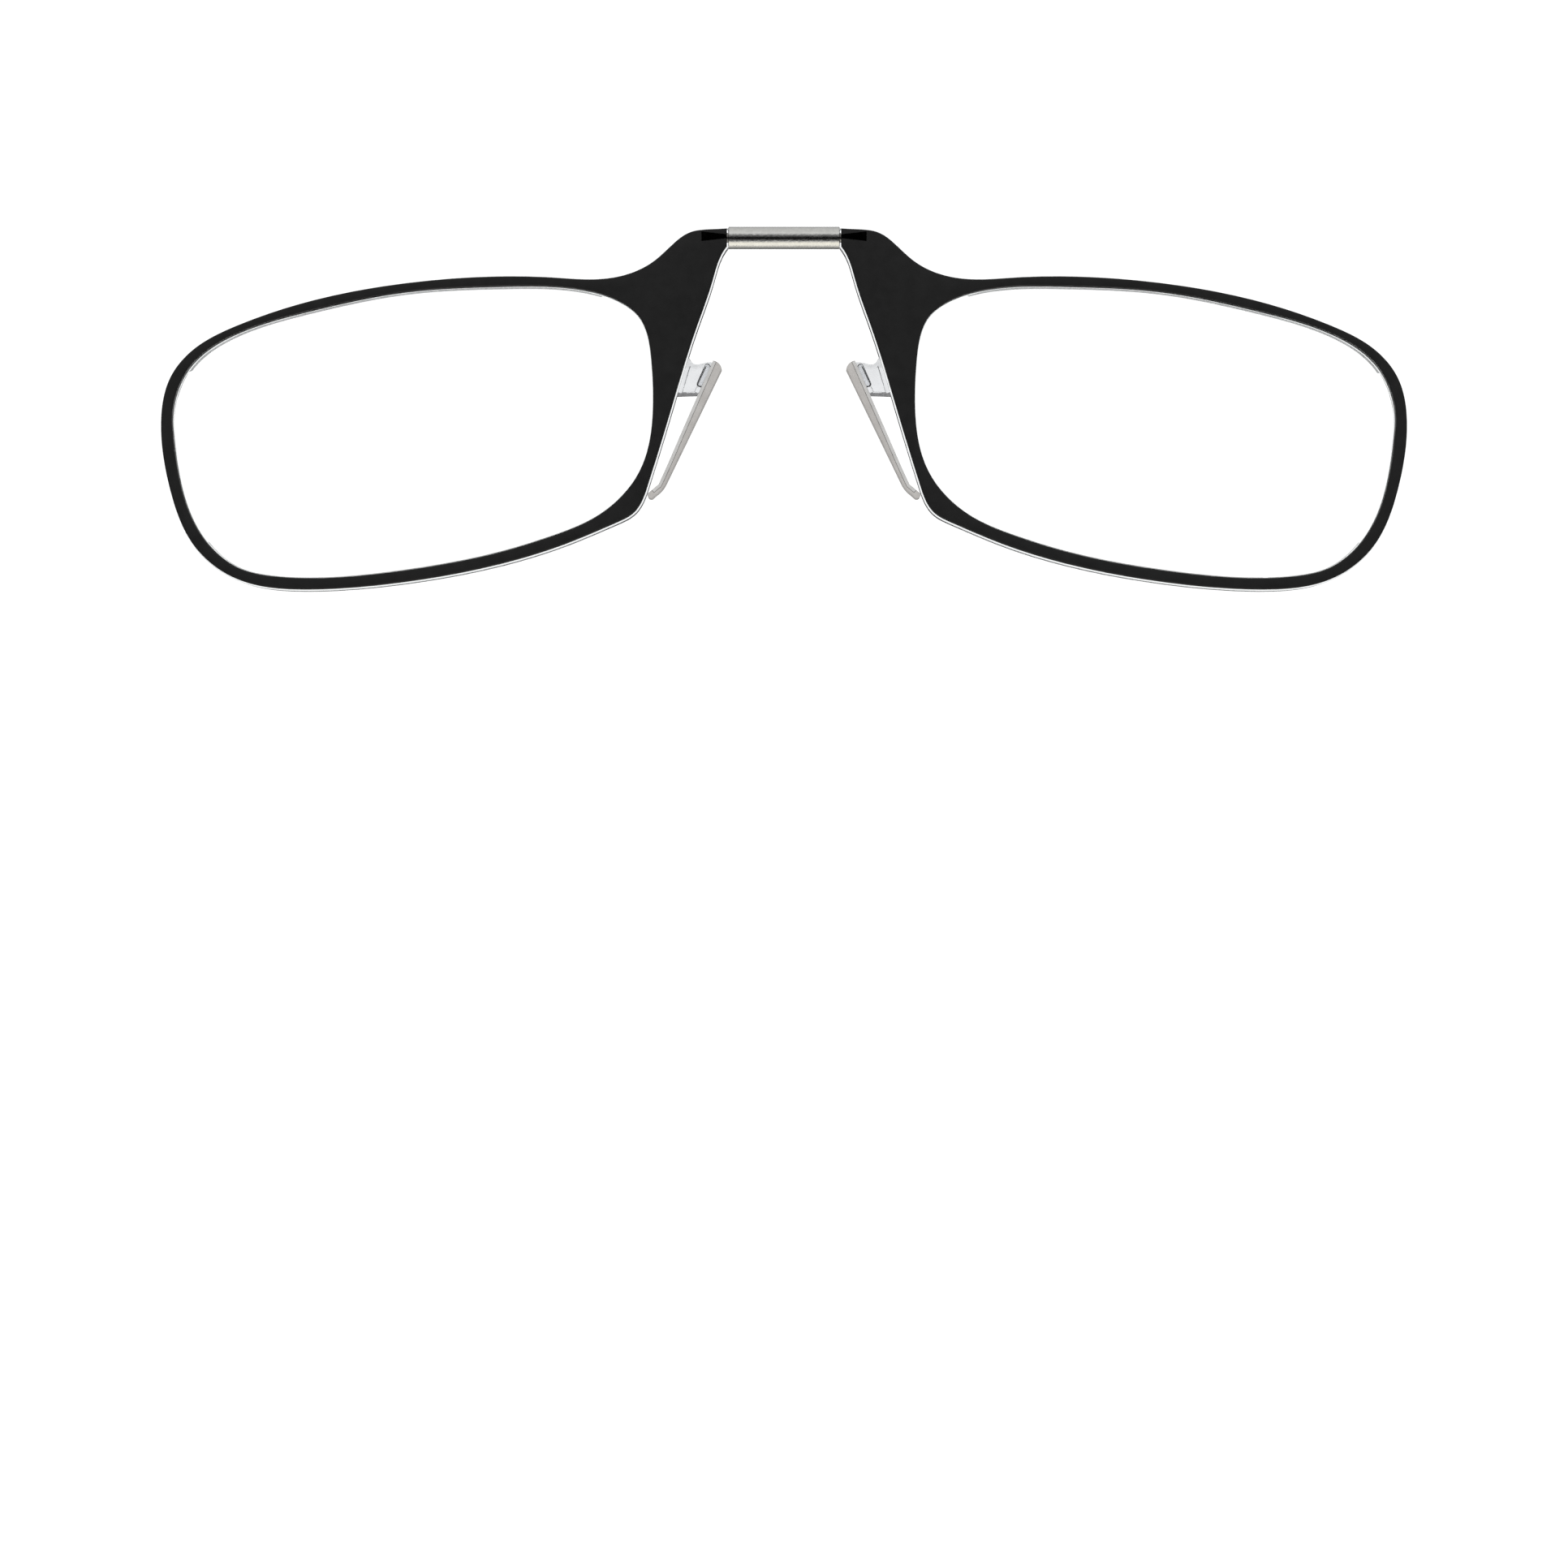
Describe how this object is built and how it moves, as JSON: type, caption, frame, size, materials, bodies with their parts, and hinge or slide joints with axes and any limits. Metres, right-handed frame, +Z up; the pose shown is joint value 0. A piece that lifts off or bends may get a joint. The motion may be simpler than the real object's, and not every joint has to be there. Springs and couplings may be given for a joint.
{
  "type": "folding reading glasses",
  "caption": "Reading glasses with no side arms: two slim black and clear fronts with clear lenses, joined by a springy metal bridge, with soft pads that pinch the nose.",
  "frame": {"origin": "midway between the two nose pads, in the plane of the fronts, where a nose is held", "axes": "+X to the wearer's left, +Z up, -Y the way the glasses face"},
  "size_m": [0.1152, 0.0021, 0.0337],
  "materials": {
    "black_facing": "satin",
    "black_resin": "gloss",
    "clear_frame": "clear polished",
    "lens": "clear polished",
    "silicone": "translucent satin",
    "bridge_metal": "polished",
    "core_metal": "drawn wire",
    "crimp_metal": "satin"
  },
  "bodies": {
    "bridge": {"bridge_sleeve": "bridge_metal", "bridge_core": "core_metal"},
    "left_wire_end": {"left_wire_crimp": "crimp_metal"},
    "left_front": {"left_front_rim": "black_facing", "left_lens_frame": "clear_frame", "left_lens": "lens", "left_crimp_plug": "black_resin", "left_pad_arm": "clear_frame"},
    "left_pad": {"left_pad_blade": "clear_frame", "left_nose_pad": "silicone"},
    "right_wire_end": {"right_wire_crimp": "crimp_metal"},
    "right_front": {"right_front_rim": "black_facing", "right_lens_frame": "clear_frame", "right_lens": "lens", "right_crimp_plug": "black_resin", "right_pad_arm": "clear_frame"},
    "right_pad": {"right_pad_blade": "clear_frame", "right_nose_pad": "silicone"}
  },
  "joints": [
    {"name": "left_fold", "type": "hinge", "parent": "bridge", "child": "left_wire_end", "pos_m": [0.00133, 0, 0.0175], "axis": [0, 0, 1], "range_deg": [-25, 25], "stiffness_Nm_per_rad": 0.37, "deforming": ["bridge_sleeve", "bridge_core"]},
    {"name": "left_spread", "type": "hinge", "parent": "left_wire_end", "child": "left_front", "pos_m": [0.00398, 0, 0.0175], "axis": [0, -1, 0], "range_deg": [-3, 12], "stiffness_Nm_per_rad": 0.37, "deforming": ["left_wire_crimp"]},
    {"name": "left_pad_flex", "type": "hinge", "parent": "left_front", "child": "left_pad", "pos_m": [0.0083, 0.00035, 0.0045], "axis": [0.4035, 0, -0.915], "range_deg": [-6, 6], "stiffness_Nm_per_rad": 0.05, "deforming": ["left_pad_arm"]},
    {"name": "right_fold", "type": "hinge", "parent": "bridge", "child": "right_wire_end", "pos_m": [-0.00133, 0, 0.0175], "axis": [0, 0, 1], "range_deg": [-25, 25], "stiffness_Nm_per_rad": 0.37, "deforming": ["bridge_sleeve", "bridge_core"]},
    {"name": "right_spread", "type": "hinge", "parent": "right_wire_end", "child": "right_front", "pos_m": [-0.00398, 0, 0.0175], "axis": [0, -1, 0], "range_deg": [-12, 3], "stiffness_Nm_per_rad": 0.37, "deforming": ["right_wire_crimp"]},
    {"name": "right_pad_flex", "type": "hinge", "parent": "right_front", "child": "right_pad", "pos_m": [-0.0083, 0.00035, 0.0045], "axis": [-0.4035, 0, -0.915], "range_deg": [-6, 6], "stiffness_Nm_per_rad": 0.05, "deforming": ["right_pad_arm"]}
  ],
  "couplings": [
    {"joint": "right_fold", "follows": "left_fold", "ratio": -1},
    {"joint": "right_spread", "follows": "left_spread", "ratio": -1}
  ]
}
